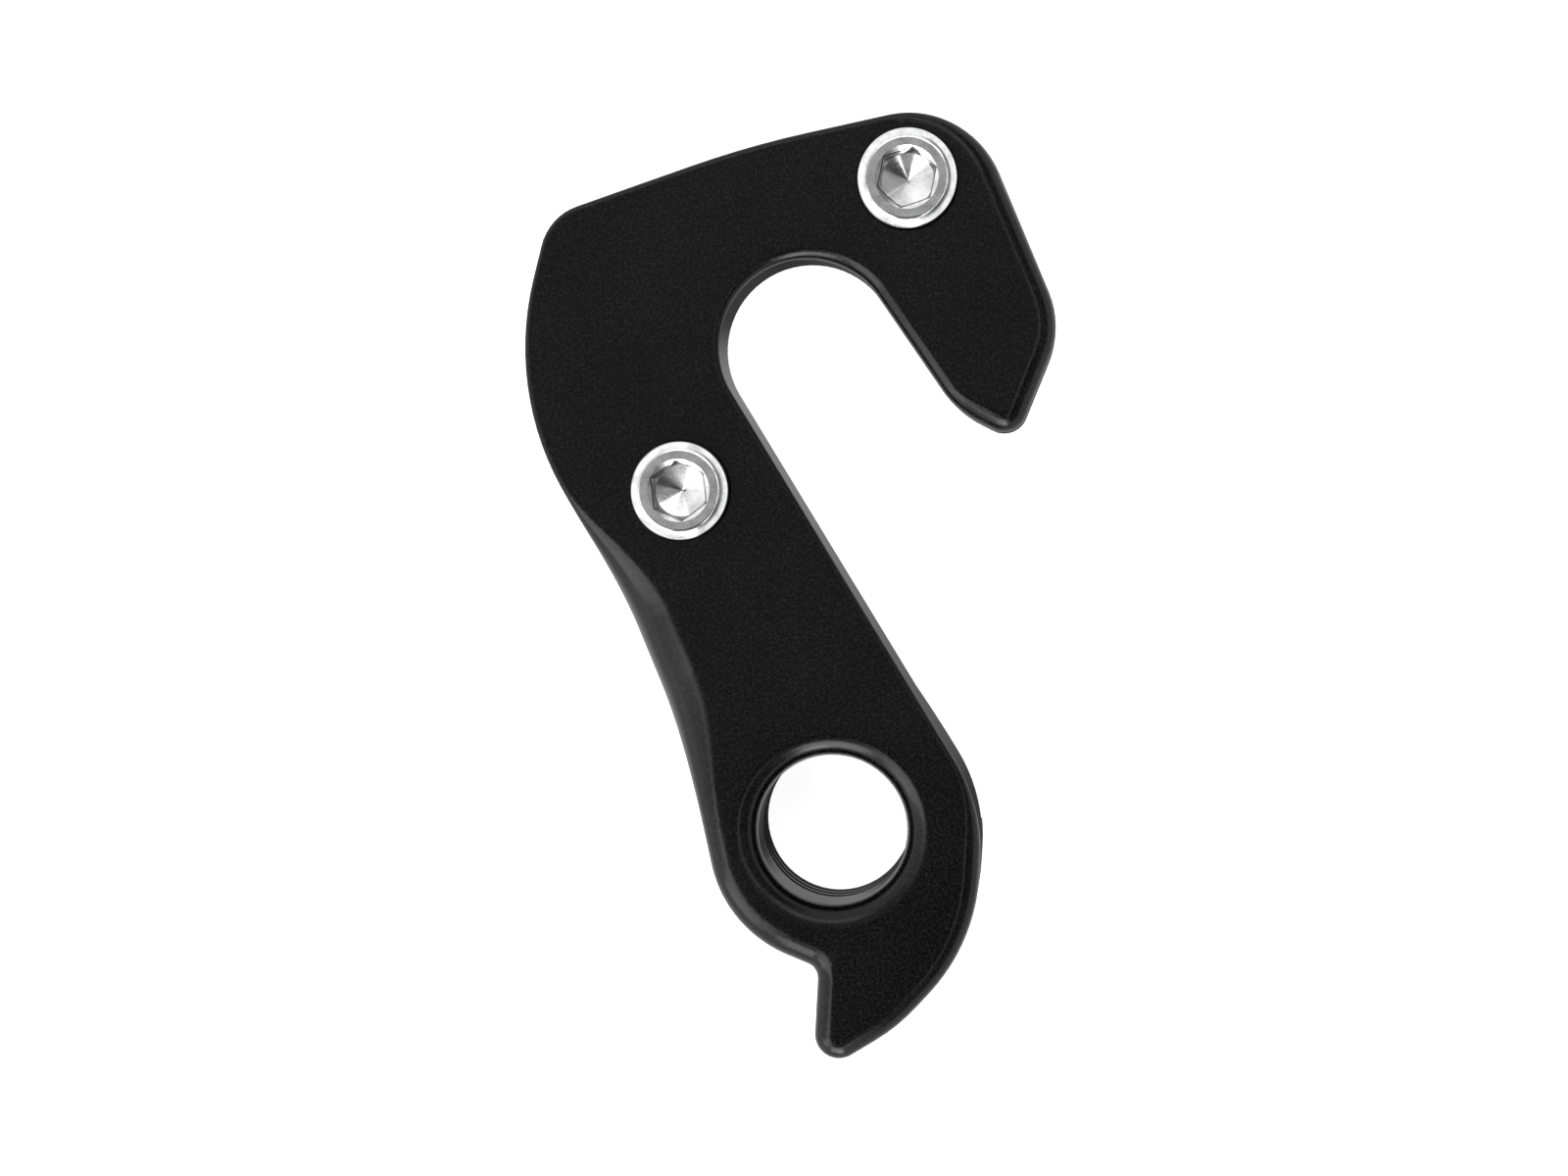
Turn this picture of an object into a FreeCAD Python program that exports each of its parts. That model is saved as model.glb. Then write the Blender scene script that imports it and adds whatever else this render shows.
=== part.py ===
import FreeCAD, Part
import math
import os
import Sketcher

# Bicycle derailleur hanger, seen from its outer side, with the two screws that hold it to the frame.
# The origin is on the axis of the threaded derailleur bore, in the rear face of the boss.
# X and Y lie in the plate, and Z points outwards, away from the wheel.

Vector = FreeCAD.Vector
UP = Vector(0, 0, 1)

# Driving dimensions: name, value in millimetres or degrees, and what it is.
SIZES = [
    # thickness
    ("boss_thickness", 8.0, "thickness round the derailleur bore"),
    ("plate_thickness", 5.0, "thickness of the plate that lies on the frame"),
    ("boss_land", 5.1, "width of the thick boss behind, round the bore, at its foot"),
    ("boss_slope", 2.2, "how far the boss narrows from its foot to its rear face"),
    ("rear_break", 0.25, "broken edge all round the rear faces"),
    # derailleur bore
    ("bore_thread", 10.0, "outside diameter of the derailleur thread"),
    ("bore_pitch", 1.0, "pitch of the derailleur thread"),
    ("lip_round", 1.4, "rounded lip of the bore on the outer face"),
    # axle slot
    ("axle_left", 1.55, "axle axis, left of the bore axis"),
    ("axle_up", 28.95, "axle axis, above the bore axis"),
    ("axle_diameter", 10.0, "diameter of the wheel axle"),
    ("axle_clearance", 0.2, "room round the axle in the slot"),
    ("hook_lean", 34.5, "lean of the hook's inner edge from upright"),
    # screws
    ("screw_upper_x", 6.05, "upper screw, right of the axle"),
    ("screw_upper_y", 9.85, "upper screw, above the axle"),
    ("screw_lower_x", -7.5, "lower screw, left of the axle"),
    ("screw_lower_y", -8.55, "lower screw, below the axle"),
    ("screw_upper_turn", -11.7, "turn of the upper screw's socket"),
    ("screw_lower_turn", 6.3, "turn of the lower screw's socket"),
    ("screw_thread", 4.0, "outside diameter of the screw thread"),
    ("screw_length", 7.0, "length of the screw under its head"),
    ("screw_hole_room", 0.15, "room round the screw in its hole"),
    ("screw_point", 0.45, "chamfer on the screw's end"),
    ("head_diameter", 5.95, "diameter of the screw head"),
    ("head_height", 2.0, "height of the screw head"),
    ("head_proud", 1.0, "how far the head stands above the outer face"),
    ("head_room", 0.08, "room round the head in its recess"),
    ("head_rim", 0.4, "chamfer on the head's rim"),
    ("key_size", 3.0, "size of the hexagon key"),
    ("key_room", 0.05, "room on each flat of the key"),
    ("socket_depth", 1.35, "depth of the hexagon socket"),
    ("socket_lead", 0.32, "lead-in round the socket, on the radius"),
    ("socket_cone", 0.45, "depth of the drilled cone under the socket"),
    # rounding of the outer edges
    ("round_crisp", 0.35, "top and left edges"),
    ("round_stem", 0.3, "straight edge of the stem"),
    ("round_slot", 0.85, "mouth of the axle slot"),
    ("round_hook", 1.2, "hook"),
    ("round_low", 1.1, "right side of the boss and the stop finger"),
    ("round_flank", 2.8, "broad rounding on the left of the stem"),
    ("round_flank_top", 1.2, "where that rounding begins"),
    ("round_flank_foot", 1.35, "where it has narrowed beside the bore"),
    ("round_boss", 1.5, "under the boss"),
]

# Corners of the outline, in order, with the plate on the left hand.
# Each has its name, what it is measured from, its place, and the radius of its arc.
# The middle is on the bore's side, halfway up to the axle.
# Where a straight edge that is already fixed runs through a corner, only its height is given.
CORNERS = [
    ("top_right", "axle", 9.6, 14.65, 5.8),
    ("crown", "axle", -3.45, 11.95, 60.0),
    ("upper_left", "axle", -15.5, 7.9, 3.3),
    ("cheek", "axle", -18.1, -2.4, 17.1),
    ("waist_high", "middle", -13.1, 0.225, 55.0),
    ("waist_low", "bore", -8.8, 4.3, 55.0),
    ("boss_left", "bore", -6.5, -6.15, 7.6),
    ("notch", "bore", -0.85, -8.45, 0.9),
    ("finger", "bore", -1.2, -15.1, 1.45),
    ("low_right", "bore", 3.95, -11.9, 11.8),
    ("boss_low", "bore", 8.6, -6.8, 11.5),
    ("boss_right", "bore", 9.08, 1.55, 10.3),
    ("hook_heel", "axle", None, -3.9, 6.1),
    ("hook_toe", "axle", 12.5, -5.65, 1.45),
    ("hook_bulge", "axle", 15.25, 1.2, 5.3),
]

# The slot's arc comes after this corner.
BEFORE_SLOT = "boss_right"

# Rounding along the outer edge: for each stretch, the size at its start and at its end.
# A stretch that isn't named keeps the size that the one before it ends with.
EDGE_ROUNDING = {
    "top_right": ("round_hook", "round_crisp"),
    "cheek_to_waist_high": ("round_crisp", "round_flank_top"),
    "waist_high": ("round_flank_top", "round_flank"),
    "waist_low": ("round_flank", "round_flank_foot"),
    "boss_left": ("round_flank_foot", "round_boss"),
    "notch": ("round_boss", "round_low"),
    "boss_right": ("round_low", "round_stem"),
    "slot": ("round_stem", "round_slot"),
    "hook_heel": ("round_slot", "round_hook"),
}

# Radius of the bore before it is tapped.
BORE_FORMULA = "(Sizes.bore_thread - Sizes.bore_pitch) / 2"

# Share of a corner's own radius that an edge rounding may take.
CORNER_SHARE = 0.85


def make_sheet(doc):
    """Spreadsheet with every driving dimension, and the same values by name."""
    rows = list(SIZES)
    for name, origin, x, y, radius in CORNERS:
        if x is not None:
            rows.append((name + "_x", x, "corner " + name + ", right of the " + origin))
        rows.append((name + "_y", y, "corner " + name + ", above the " + origin))
        rows.append((name + "_round", radius, "radius of corner " + name))
    sheet = doc.addObject("Spreadsheet::Sheet", "Sizes")
    for number, (alias, value, meaning) in enumerate(rows, start=1):
        sheet.set("A%d" % number, meaning)
        sheet.set("B%d" % number, str(value))
        sheet.setAlias("B%d" % number, alias)
    doc.recompute()
    return {alias: float(sheet.get(alias)) for alias, _, _ in rows}


def heading(degrees):
    """Unit vector at an angle from X."""
    angle = math.radians(degrees)
    return Vector(math.cos(angle), math.sin(angle), 0)


def left_of(direction):
    """Direction turned a quarter to the left."""
    return Vector(-direction.y, direction.x, 0)


def along_to_height(start, direction, height):
    """Point of a line at a height."""
    return start + direction * ((height - start.y) / direction.y)


class Stretch:
    """One line or arc of an outline, in the direction of travel."""

    def __init__(self, name, start, end, centre=None, radius=0.0, left_turn=True):
        self.name = name
        self.start = start
        self.end = end
        self.centre = centre
        self.radius = radius
        self.left_turn = left_turn

    def geometry(self):
        """Sketch geometry: an arc is always stored counterclockwise."""
        if self.centre is None:
            return Part.LineSegment(self.start, self.end)
        first, last = (self.start, self.end) if self.left_turn else (self.end, self.start)
        circle = Part.Circle(self.centre, UP, self.radius)
        return Part.ArcOfCircle(circle, circle.parameter(first), circle.parameter(last))

    def entry(self):
        """Number of the end where travel enters."""
        return 1 if self.centre is None or self.left_turn else 2

    def way_out(self):
        """Number of the end where travel leaves."""
        return 3 - self.entry()

    def middle(self):
        """Point halfway along."""
        edge = self.geometry().toShape()
        return edge.valueAt((edge.FirstParameter + edge.LastParameter) / 2)


def rounded(name, before, corner, after, radius):
    """Arc that rounds a corner between two neighbours."""
    inward = (corner - before).normalize()
    outward = (after - corner).normalize()
    turn = math.atan2(inward.x * outward.y - inward.y * outward.x, inward.dot(outward))
    reach = radius * math.tan(abs(turn) / 2)
    start = corner - inward * reach
    side = left_of(inward) * math.copysign(radius, turn)
    return Stretch(name, start, corner + outward * reach, start + side, radius, turn > 0)


def axle_point(size):
    """Axis of the wheel axle."""
    return Vector(-size["axle_left"], size["axle_up"], 0)


def touch_from(point, centre, radius):
    """Where a straight edge that comes from a point touches a circle that lies on its left."""
    away = point - centre
    turn = math.acos(radius / away.Length)
    angle = math.atan2(away.y, away.x) - turn
    return centre + Vector(math.cos(angle), math.sin(angle), 0) * radius


def outline(size):
    """Corners by name, and the stretches of the outline in order."""
    axle = axle_point(size)
    slot_radius = size["axle_diameter"] / 2 + size["axle_clearance"]
    hook = heading(size["hook_lean"] - 90)
    hook_touch = axle + left_of(hook) * slot_radius
    places = {"axle": axle, "bore": Vector(0, 0, 0), "middle": Vector(0, size["axle_up"] / 2, 0)}
    points = {}
    for name, origin, x, _, _ in CORNERS:
        height = places[origin].y + size[name + "_y"]
        if x is None:
            points[name] = along_to_height(hook_touch, hook, height)
        else:
            points[name] = Vector(places[origin].x + size[name + "_x"], height, 0)
    stem_touch = touch_from(points[BEFORE_SLOT], axle, slot_radius)
    names = [row[0] for row in CORNERS]
    arcs = []
    for number, name in enumerate(names):
        before = points[names[number - 1]]
        after = points[names[(number + 1) % len(names)]]
        if name == BEFORE_SLOT:
            after = stem_touch
        if names[number - 1] == BEFORE_SLOT:
            before = hook_touch
        arcs.append(rounded(name, before, points[name], after, size[name + "_round"]))
        if name == BEFORE_SLOT:
            arcs.append(Stretch("slot", stem_touch, hook_touch, axle, slot_radius, False))
    stretches = []
    for arc, following in zip(arcs, arcs[1:] + arcs[:1]):
        stretches.append(arc)
        stretches.append(Stretch(arc.name + "_to_" + following.name, arc.end, following.start))
    return points, stretches


def plane_of(body, role):
    """Origin plane of a body."""
    return next(item for item in body.Origin.OriginFeatures if item.Role == role)


def new_sketch(body, name, role="XY_Plane"):
    """Empty sketch on one of the body's own planes."""
    sketch = body.newObject("Sketcher::SketchObject", name)
    sketch.AttachmentSupport = [(plane_of(body, role), "")]
    sketch.MapMode = "FlatFace"
    return sketch


def constrain(sketch, name, formula, *parts):
    """Named constraint whose value comes from the sheet."""
    index = sketch.addConstraint(Sketcher.Constraint(*parts))
    sketch.renameConstraint(index, name)
    sketch.setExpression("Constraints." + name, formula)


def offset_between(sketch, name, geometry, point, formula_x, formula_y, at, origin=(-1, 1), base=None):
    """Place a point by its distances along X and Y from another."""
    base = base or Vector(0, 0, 0)
    if formula_x:
        constrain(sketch, name + "_x", formula_x, "DistanceX", *origin, geometry, point, at.x - base.x)
    constrain(sketch, name + "_y", formula_y, "DistanceY", *origin, geometry, point, at.y - base.y)


def draw_outline(sketch, size):
    """Outline of lines and tangent arcs, each corner held by the sheet."""
    points, stretches = outline(size)
    numbers = {}
    for stretch in stretches:
        numbers[stretch.name] = sketch.addGeometry(stretch.geometry(), False)
    for stretch, following in zip(stretches, stretches[1:] + stretches[:1]):
        ends = (numbers[stretch.name], stretch.way_out(), numbers[following.name], following.entry())
        sketch.addConstraint(Sketcher.Constraint("Tangent", *ends))
    slot = next(stretch for stretch in stretches if stretch.name == "slot")
    axle = (numbers["slot"], 3)
    constrain(sketch, "slot_radius", "Sizes.axle_diameter / 2 + Sizes.axle_clearance",
              "Radius", numbers["slot"], slot.radius)
    offset_between(sketch, "axle", *axle, "-Sizes.axle_left", "Sizes.axle_up", slot.centre)
    constrain(sketch, "hook_angle", "(Sizes.hook_lean - 90) * 1 deg",
              "Angle", numbers["slot_to_hook_heel"], math.radians(size["hook_lean"] - 90))
    bore = ((-1, 1), Vector(0, 0, 0))
    places = {"axle": (axle, slot.centre), "bore": bore, "middle": bore}
    order = [stretch.name for stretch in stretches]
    for name, origin, x, _, _ in CORNERS:
        corner = sketch.addGeometry(Part.Point(points[name]), True)
        place = order.index(name)
        for side in (order[place - 1], order[(place + 1) % len(order)]):
            sketch.addConstraint(Sketcher.Constraint("PointOnObject", corner, 1, numbers[side]))
        formula_x = None if x is None else "Sizes." + name + "_x"
        formula_y = "Sizes." + name + "_y" + (" + Sizes.axle_up / 2" if origin == "middle" else "")
        offset_between(sketch, name, corner, 1, formula_x, formula_y, points[name], *places[origin])
        constrain(sketch, name + "_round", "Sizes." + name + "_round",
                  "Radius", numbers[name], size[name + "_round"])
    return stretches


def draw_circle(sketch, name, centre, radius, radius_formula, formula_x=None, formula_y=None):
    """Circle with its radius, and its centre unless it lies on the origin, from the sheet."""
    circle = sketch.addGeometry(Part.Circle(centre, UP, radius), False)
    constrain(sketch, name + "_radius", radius_formula, "Radius", circle, radius)
    if formula_x is None:
        sketch.addConstraint(Sketcher.Constraint("Coincident", circle, 3, -1, 1))
    else:
        offset_between(sketch, name, circle, 3, formula_x, formula_y, centre)


def cut(body, name, sketch, formula=None, reverse=False):
    """Pocket to a depth from the sheet, or right through, which must take material away."""
    before = body.Shape.Volume
    pocket = body.newObject("PartDesign::Pocket", name)
    pocket.Profile = sketch
    pocket.Reversed = reverse
    if formula:
        pocket.setExpression("Length", formula)
    else:
        pocket.Type = 1
        pocket.Midplane = True
    body.Document.recompute()
    if body.Shape.Volume >= before:
        raise RuntimeError(name + " cuts nothing")
    return pocket


def turn_away(body, name, sketch, angle):
    """Groove turned about the sketch's upright axis, which must take material away."""
    before = body.Shape.Volume
    groove = body.newObject("PartDesign::Groove", name)
    groove.Profile = sketch
    groove.ReferenceAxis = (sketch, ["V_Axis"])
    groove.Angle = angle
    body.Document.recompute()
    if body.Shape.Volume >= before:
        raise RuntimeError(name + " cuts nothing")
    return groove


def bore_radius(size):
    """Radius of the bore before it is tapped."""
    return (size["bore_thread"] - size["bore_pitch"]) / 2


def on_level(edge, height):
    """Whether an edge lies flat at a height."""
    return all(abs(vertex.Z - height) < 1e-4 for vertex in edge.Vertexes) and edge.BoundBox.ZLength < 1e-4


def middle_of(edge):
    """Point halfway along an edge."""
    return edge.valueAt((edge.FirstParameter + edge.LastParameter) / 2)


def is_circle(edge, radius):
    """Whether an edge is round with this radius."""
    return isinstance(edge.Curve, Part.Circle) and abs(edge.Curve.Radius - radius) < 1e-4


def edge_rounding(size, stretches):
    """Rounding at the start and the end of every stretch of the outer edge."""
    corner_radius = {"round_hook": size["hook_toe_round"], "round_low": size["finger_round"]}
    radius = {}
    for alias in (row[0] for row in SIZES if row[0].startswith("round_")):
        radius[alias] = size[alias]
        if alias in corner_radius:
            radius[alias] = min(size[alias], CORNER_SHARE * corner_radius[alias])
    current = radius[EDGE_ROUNDING["top_right"][0]]
    table = {}
    for stretch in stretches:
        if stretch.name in EDGE_ROUNDING:
            first, last = (radius[alias] for alias in EDGE_ROUNDING[stretch.name])
            table[stretch.name] = (first, last)
            current = last
        else:
            table[stretch.name] = (current, current)
    return table


def relieve_rear(body, size):
    """Take the plate's rear away above the bore, down to the boss's sloping side."""
    foot = bore_radius(size) + size["boss_land"]
    far = 2 * size["axle_up"]
    seat = size["boss_thickness"] - size["plate_thickness"]
    foot_formula = BORE_FORMULA + " + Sizes.boss_land"
    seat_formula = "Sizes.boss_thickness - Sizes.plate_thickness"
    profile = new_sketch(body, "RearReliefSketch", "XZ_Plane")
    draw_profile(profile, [
        ("rim", foot - size["boss_slope"], 0, foot_formula + " - Sizes.boss_slope", None),
        ("outside", far, 0, "2 * Sizes.axle_up", None),
        ("outside_seat", far, seat, "2 * Sizes.axle_up", seat_formula),
        ("foot", foot, seat, foot_formula, seat_formula),
    ])
    turn_away(body, "RearRelief", profile, 180)


def hanger_body(doc, size):
    """Plate, boss, bore, axle slot and screw seats, with square edges."""
    body = doc.addObject("PartDesign::Body", "HangerBody")
    plan = new_sketch(body, "OutlineSketch")
    stretches = draw_outline(plan, size)
    pad = body.newObject("PartDesign::Pad", "Blank")
    pad.Profile = plan
    pad.setExpression("Length", "Sizes.boss_thickness")
    doc.recompute()

    relieve_rear(body, size)

    bore = new_sketch(body, "BoreSketch")
    draw_circle(bore, "bore", Vector(0, 0, 0), bore_radius(size), BORE_FORMULA)
    cut(body, "Bore", bore)

    seat_radius = size["head_diameter"] / 2 + size["head_room"]
    hole_radius = size["screw_thread"] / 2 + size["screw_hole_room"]
    for side in ("upper", "lower"):
        where = screw_place(size, side)
        formulas = screw_formulas(side)
        hole = new_sketch(body, "ScrewHoleSketch" + side.capitalize())
        draw_circle(hole, "hole", where, hole_radius, "Sizes.screw_thread / 2 + Sizes.screw_hole_room", *formulas)
        cut(body, "ScrewHole" + side.capitalize(), hole)
        seat = new_sketch(body, "ScrewSeatSketch" + side.capitalize())
        draw_circle(seat, "seat", where, seat_radius, "Sizes.head_diameter / 2 + Sizes.head_room", *formulas)
        seat.setExpression("AttachmentOffset.Base.z", "Sizes.boss_thickness")
        cut(body, "ScrewSeat" + side.capitalize(), seat, "Sizes.head_height - Sizes.head_proud")
    return body, stretches


def screw_place(size, side):
    """Axis of a screw."""
    return axle_point(size) + Vector(size["screw_%s_x" % side], size["screw_%s_y" % side], 0)


def screw_formulas(side):
    """Place of a screw's axis as the sheet gives it."""
    return "Sizes.screw_%s_x - Sizes.axle_left" % side, "Sizes.screw_%s_y + Sizes.axle_up" % side


def edge_at(shape, place):
    """Number of the edge whose middle lies at a place."""
    return 1 + min(range(len(shape.Edges)), key=lambda index: (middle_of(shape.Edges[index]) - place).Length)


def round_front_edges(doc, body, stretches, size):
    """Round the outer edge and the lip of the bore."""
    table = edge_rounding(size, stretches)
    face = size["boss_thickness"]
    shape = body.Shape
    # The rounding goes once round the outline in the direction of travel, from the crown.
    names = [stretch.name for stretch in stretches]
    begin = names.index("crown")
    chosen = []
    for stretch in stretches[begin:] + stretches[:begin]:
        chosen.append((edge_at(shape, stretch.middle() + UP * face), *table[stretch.name]))
    for number, edge in enumerate(shape.Edges, start=1):
        if on_level(edge, face) and is_circle(edge, bore_radius(size)):
            chosen.append((number, size["lip_round"], size["lip_round"]))
    rounded_edges = doc.addObject("Part::Fillet", "FrontEdges")
    rounded_edges.Base = body
    rounded_edges.Edges = chosen
    doc.recompute()
    return rounded_edges


def break_rear_edges(doc, blank, stretches, size):
    """Small chamfer round the back of the plate and of the boss, along the outer wall."""
    seat = size["boss_thickness"] - size["plate_thickness"]
    outer_wall = [stretch.geometry().toShape() for stretch in stretches]
    broken = []
    for number, edge in enumerate(blank.Shape.Edges, start=1):
        below = Part.Vertex(middle_of(edge) - UP * middle_of(edge).z)
        on_wall = min(wall.distToShape(below)[0] for wall in outer_wall) < 1e-3
        if on_wall and (on_level(edge, 0) or on_level(edge, seat)):
            broken.append((number, size["rear_break"], size["rear_break"]))
    rear_edges = doc.addObject("Part::Chamfer", "RearEdges")
    rear_edges.Base = blank
    rear_edges.Edges = broken
    rear_edges.Label = "hanger"
    return rear_edges


def draw_profile(sketch, corners):
    """Closed polygon whose corners are held by the sheet.

    Each corner is its name, its place across and its place up, with the formula of each."""
    places = [Vector(across, up, 0) for _, across, up, _, _ in corners]
    lines = [sketch.addGeometry(Part.LineSegment(a, b), False) for a, b in zip(places, places[1:] + places[:1])]
    for number, line in enumerate(lines):
        following = lines[(number + 1) % len(lines)]
        sketch.addConstraint(Sketcher.Constraint("Coincident", line, 2, following, 1))
    for line, (name, _, _, across, up) in zip(lines, corners):
        for axis, formula, kind in (("x", across, "DistanceX"), ("y", up, "DistanceY")):
            place = getattr(places[lines.index(line)], axis)
            if formula is None:
                reference = -2 if axis == "x" else -1
                sketch.addConstraint(Sketcher.Constraint("PointOnObject", line, 1, reference))
            else:
                constrain(sketch, name + "_" + axis, formula, kind, -1, 1, line, 1, place)


def screw_body(doc, size, side):
    """Low-head hexagon socket screw, with its seat at the origin and its shank below."""
    body = doc.addObject("PartDesign::Body", "Screw" + side.capitalize())
    head = size["head_diameter"] / 2
    shank = size["screw_thread"] / 2
    length = size["screw_length"]
    height = size["head_height"]
    point = size["screw_point"]
    profile = new_sketch(body, "ScrewProfile" + side.capitalize(), "XZ_Plane")
    draw_profile(profile, [
        ("tip_centre", 0, -length, None, "-Sizes.screw_length"),
        ("tip_edge", shank - point, -length, "Sizes.screw_thread / 2 - Sizes.screw_point", "-Sizes.screw_length"),
        ("tip_side", shank, point - length, "Sizes.screw_thread / 2", "Sizes.screw_point - Sizes.screw_length"),
        ("neck", shank, 0, "Sizes.screw_thread / 2", None),
        ("head_seat", head, 0, "Sizes.head_diameter / 2", None),
        ("head_top", head, height, "Sizes.head_diameter / 2", "Sizes.head_height"),
        ("head_centre", 0, height, None, "Sizes.head_height"),
    ])
    turned = body.newObject("PartDesign::Revolution", "ScrewBlank" + side.capitalize())
    turned.Profile = profile
    turned.ReferenceAxis = (profile, ["V_Axis"])
    turned.Angle = 360
    doc.recompute()

    rim = body.newObject("PartDesign::Chamfer", "ScrewRim" + side.capitalize())
    top_edges = ["Edge%d" % number for number, edge in enumerate(turned.Shape.Edges, start=1)
                 if on_level(edge, height) and is_circle(edge, head)]
    rim.Base = (turned, top_edges)
    rim.setExpression("Size", "Sizes.head_rim")
    doc.recompute()

    flat = size["key_size"] / 2 + size["key_room"]
    lead = flat + size["socket_lead"]
    depth = size["socket_depth"]
    flat_formula = "Sizes.key_size / 2 + Sizes.key_room"
    drill = new_sketch(body, "SocketDrill" + side.capitalize(), "XZ_Plane")
    draw_profile(drill, [
        ("cone_tip", 0, height - depth - size["socket_cone"], None,
         "Sizes.head_height - Sizes.socket_depth - Sizes.socket_cone"),
        ("cone_edge", flat, height - depth, flat_formula, "Sizes.head_height - Sizes.socket_depth"),
        ("lead_foot", flat, height - size["socket_lead"], flat_formula, "Sizes.head_height - Sizes.socket_lead"),
        ("lead_edge", lead, height, flat_formula + " + Sizes.socket_lead", "Sizes.head_height"),
        ("drill_top", 0, height, None, "Sizes.head_height"),
    ])
    turn_away(body, "SocketBore" + side.capitalize(), drill, 360)

    hexagon = new_sketch(body, "SocketHexagon" + side.capitalize())
    reach = 2 * flat / math.sqrt(3)
    corners = [heading(30 + 60 * number) * reach for number in range(6)]
    sides = [hexagon.addGeometry(Part.LineSegment(a, b), False) for a, b in zip(corners, corners[1:] + corners[:1])]
    circle = hexagon.addGeometry(Part.Circle(Vector(0, 0, 0), UP, reach), True)
    hexagon.addConstraint(Sketcher.Constraint("Coincident", circle, 3, -1, 1))
    for number, line in enumerate(sides):
        following = sides[(number + 1) % len(sides)]
        hexagon.addConstraint(Sketcher.Constraint("Coincident", line, 2, following, 1))
        hexagon.addConstraint(Sketcher.Constraint("PointOnObject", line, 1, circle))
        if number:
            hexagon.addConstraint(Sketcher.Constraint("Equal", sides[0], line))
    hexagon.addConstraint(Sketcher.Constraint("Vertical", sides[5]))
    constrain(hexagon, "corner_reach", "(Sizes.key_size + 2 * Sizes.key_room) / sqrt(3)", "Radius", circle, reach)
    hexagon.setExpression("AttachmentOffset.Base.z", "Sizes.head_height")
    cut(body, "Socket" + side.capitalize(), hexagon, "Sizes.socket_depth")

    formula_x, formula_y = screw_formulas(side)
    body.setExpression("Placement.Base.x", formula_x)
    body.setExpression("Placement.Base.y", formula_y)
    body.setExpression("Placement.Base.z", "Sizes.boss_thickness - Sizes.head_height + Sizes.head_proud")
    body.setExpression("Placement.Rotation.Angle", "Sizes.screw_%s_turn * 1 deg" % side)
    body.Label = "mounting_screw_" + side
    return body


def check(doc, pieces):
    """Stop if anything in the document failed or a piece isn't one sound solid."""
    for item in doc.Objects:
        if "Invalid" in item.State or "Error" in item.State:
            raise RuntimeError(item.Name + " failed: " + str(item.State))
    for piece in pieces:
        shape = piece.Shape
        if shape.isNull() or not shape.isValid() or len(shape.Solids) != 1:
            raise RuntimeError(piece.Label + " isn't one valid solid")


def main():
    doc = FreeCAD.newDocument("DerailleurHanger")
    size = make_sheet(doc)
    body, stretches = hanger_body(doc, size)
    blank = round_front_edges(doc, body, stretches, size)
    pieces = [break_rear_edges(doc, blank, stretches, size)]
    for side in ("upper", "lower"):
        pieces.append(screw_body(doc, size, side))
    doc.recompute()
    check(doc, pieces)
    os.makedirs("parts", exist_ok=True)
    for piece in pieces:
        piece.Shape.exportStep(os.path.join("parts", piece.Label + ".step"))
        print(piece.Label, "volume", round(piece.Shape.Volume, 2), "box", piece.Shape.BoundBox)


main()
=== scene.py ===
"""Bicycle derailleur hanger with its two socket screws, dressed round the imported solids.

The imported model's own frame holds throughout: X and Y lie in the plate, and Z points away from the
wheel. The pieces are modelled in millimetres and brought to metres when they are put in place, and the
stage is in metres. The part lies on its back on a pale floor, and the camera looks down on its outer side.
"""

import logging
import math
from dataclasses import dataclass, field
from enum import Enum
from typing import Iterable, Union

import bmesh
import bpy
from mathutils import Matrix, Vector


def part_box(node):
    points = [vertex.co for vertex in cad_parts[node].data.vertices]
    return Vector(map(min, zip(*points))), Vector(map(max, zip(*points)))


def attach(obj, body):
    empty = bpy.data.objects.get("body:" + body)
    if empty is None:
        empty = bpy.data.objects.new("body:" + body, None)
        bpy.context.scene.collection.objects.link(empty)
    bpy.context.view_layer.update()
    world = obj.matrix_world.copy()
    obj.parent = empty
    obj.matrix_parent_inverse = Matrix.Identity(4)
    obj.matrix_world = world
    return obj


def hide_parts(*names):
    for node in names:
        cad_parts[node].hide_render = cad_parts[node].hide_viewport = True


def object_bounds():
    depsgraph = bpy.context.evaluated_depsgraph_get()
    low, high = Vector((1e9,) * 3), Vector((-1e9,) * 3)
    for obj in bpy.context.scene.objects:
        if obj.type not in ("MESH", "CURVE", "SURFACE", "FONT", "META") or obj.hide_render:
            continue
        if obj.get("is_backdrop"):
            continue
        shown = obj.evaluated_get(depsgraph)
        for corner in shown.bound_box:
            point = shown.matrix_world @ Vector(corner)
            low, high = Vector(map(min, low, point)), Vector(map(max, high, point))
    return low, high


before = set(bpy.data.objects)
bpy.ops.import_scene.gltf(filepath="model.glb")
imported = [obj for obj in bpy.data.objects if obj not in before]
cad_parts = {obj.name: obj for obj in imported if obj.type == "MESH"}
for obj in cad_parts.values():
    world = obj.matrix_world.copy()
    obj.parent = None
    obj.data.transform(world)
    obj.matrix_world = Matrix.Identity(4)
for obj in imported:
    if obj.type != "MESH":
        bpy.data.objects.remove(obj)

LOG = logging.getLogger("hanger")
MM = 0.001
BODY = "root"

# Heights in a mesh that differ by less than this, in millimetres, are one level.
SAME_LEVEL = 1e-5

# A Mix node has a set of sockets for each kind of value, and these are the ones for colours.
MIX_FIRST = 6
MIX_SECOND = 7
MIX_RESULT = 2

# A wave texture of scale 1 repeats every 0.314 units.
WAVE_LENGTH = 0.314

Value = Union[float, int, "Expression"]
Colour = tuple[float, float, float, float]
Stops = tuple[tuple[float, float], ...]

WHITE: Colour = (1.0, 1.0, 1.0, 1.0)


class Slot(Enum):
    """Names of the two finishes."""

    BLACK = "black_anodised"
    STEEL = "bright_steel"


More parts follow.
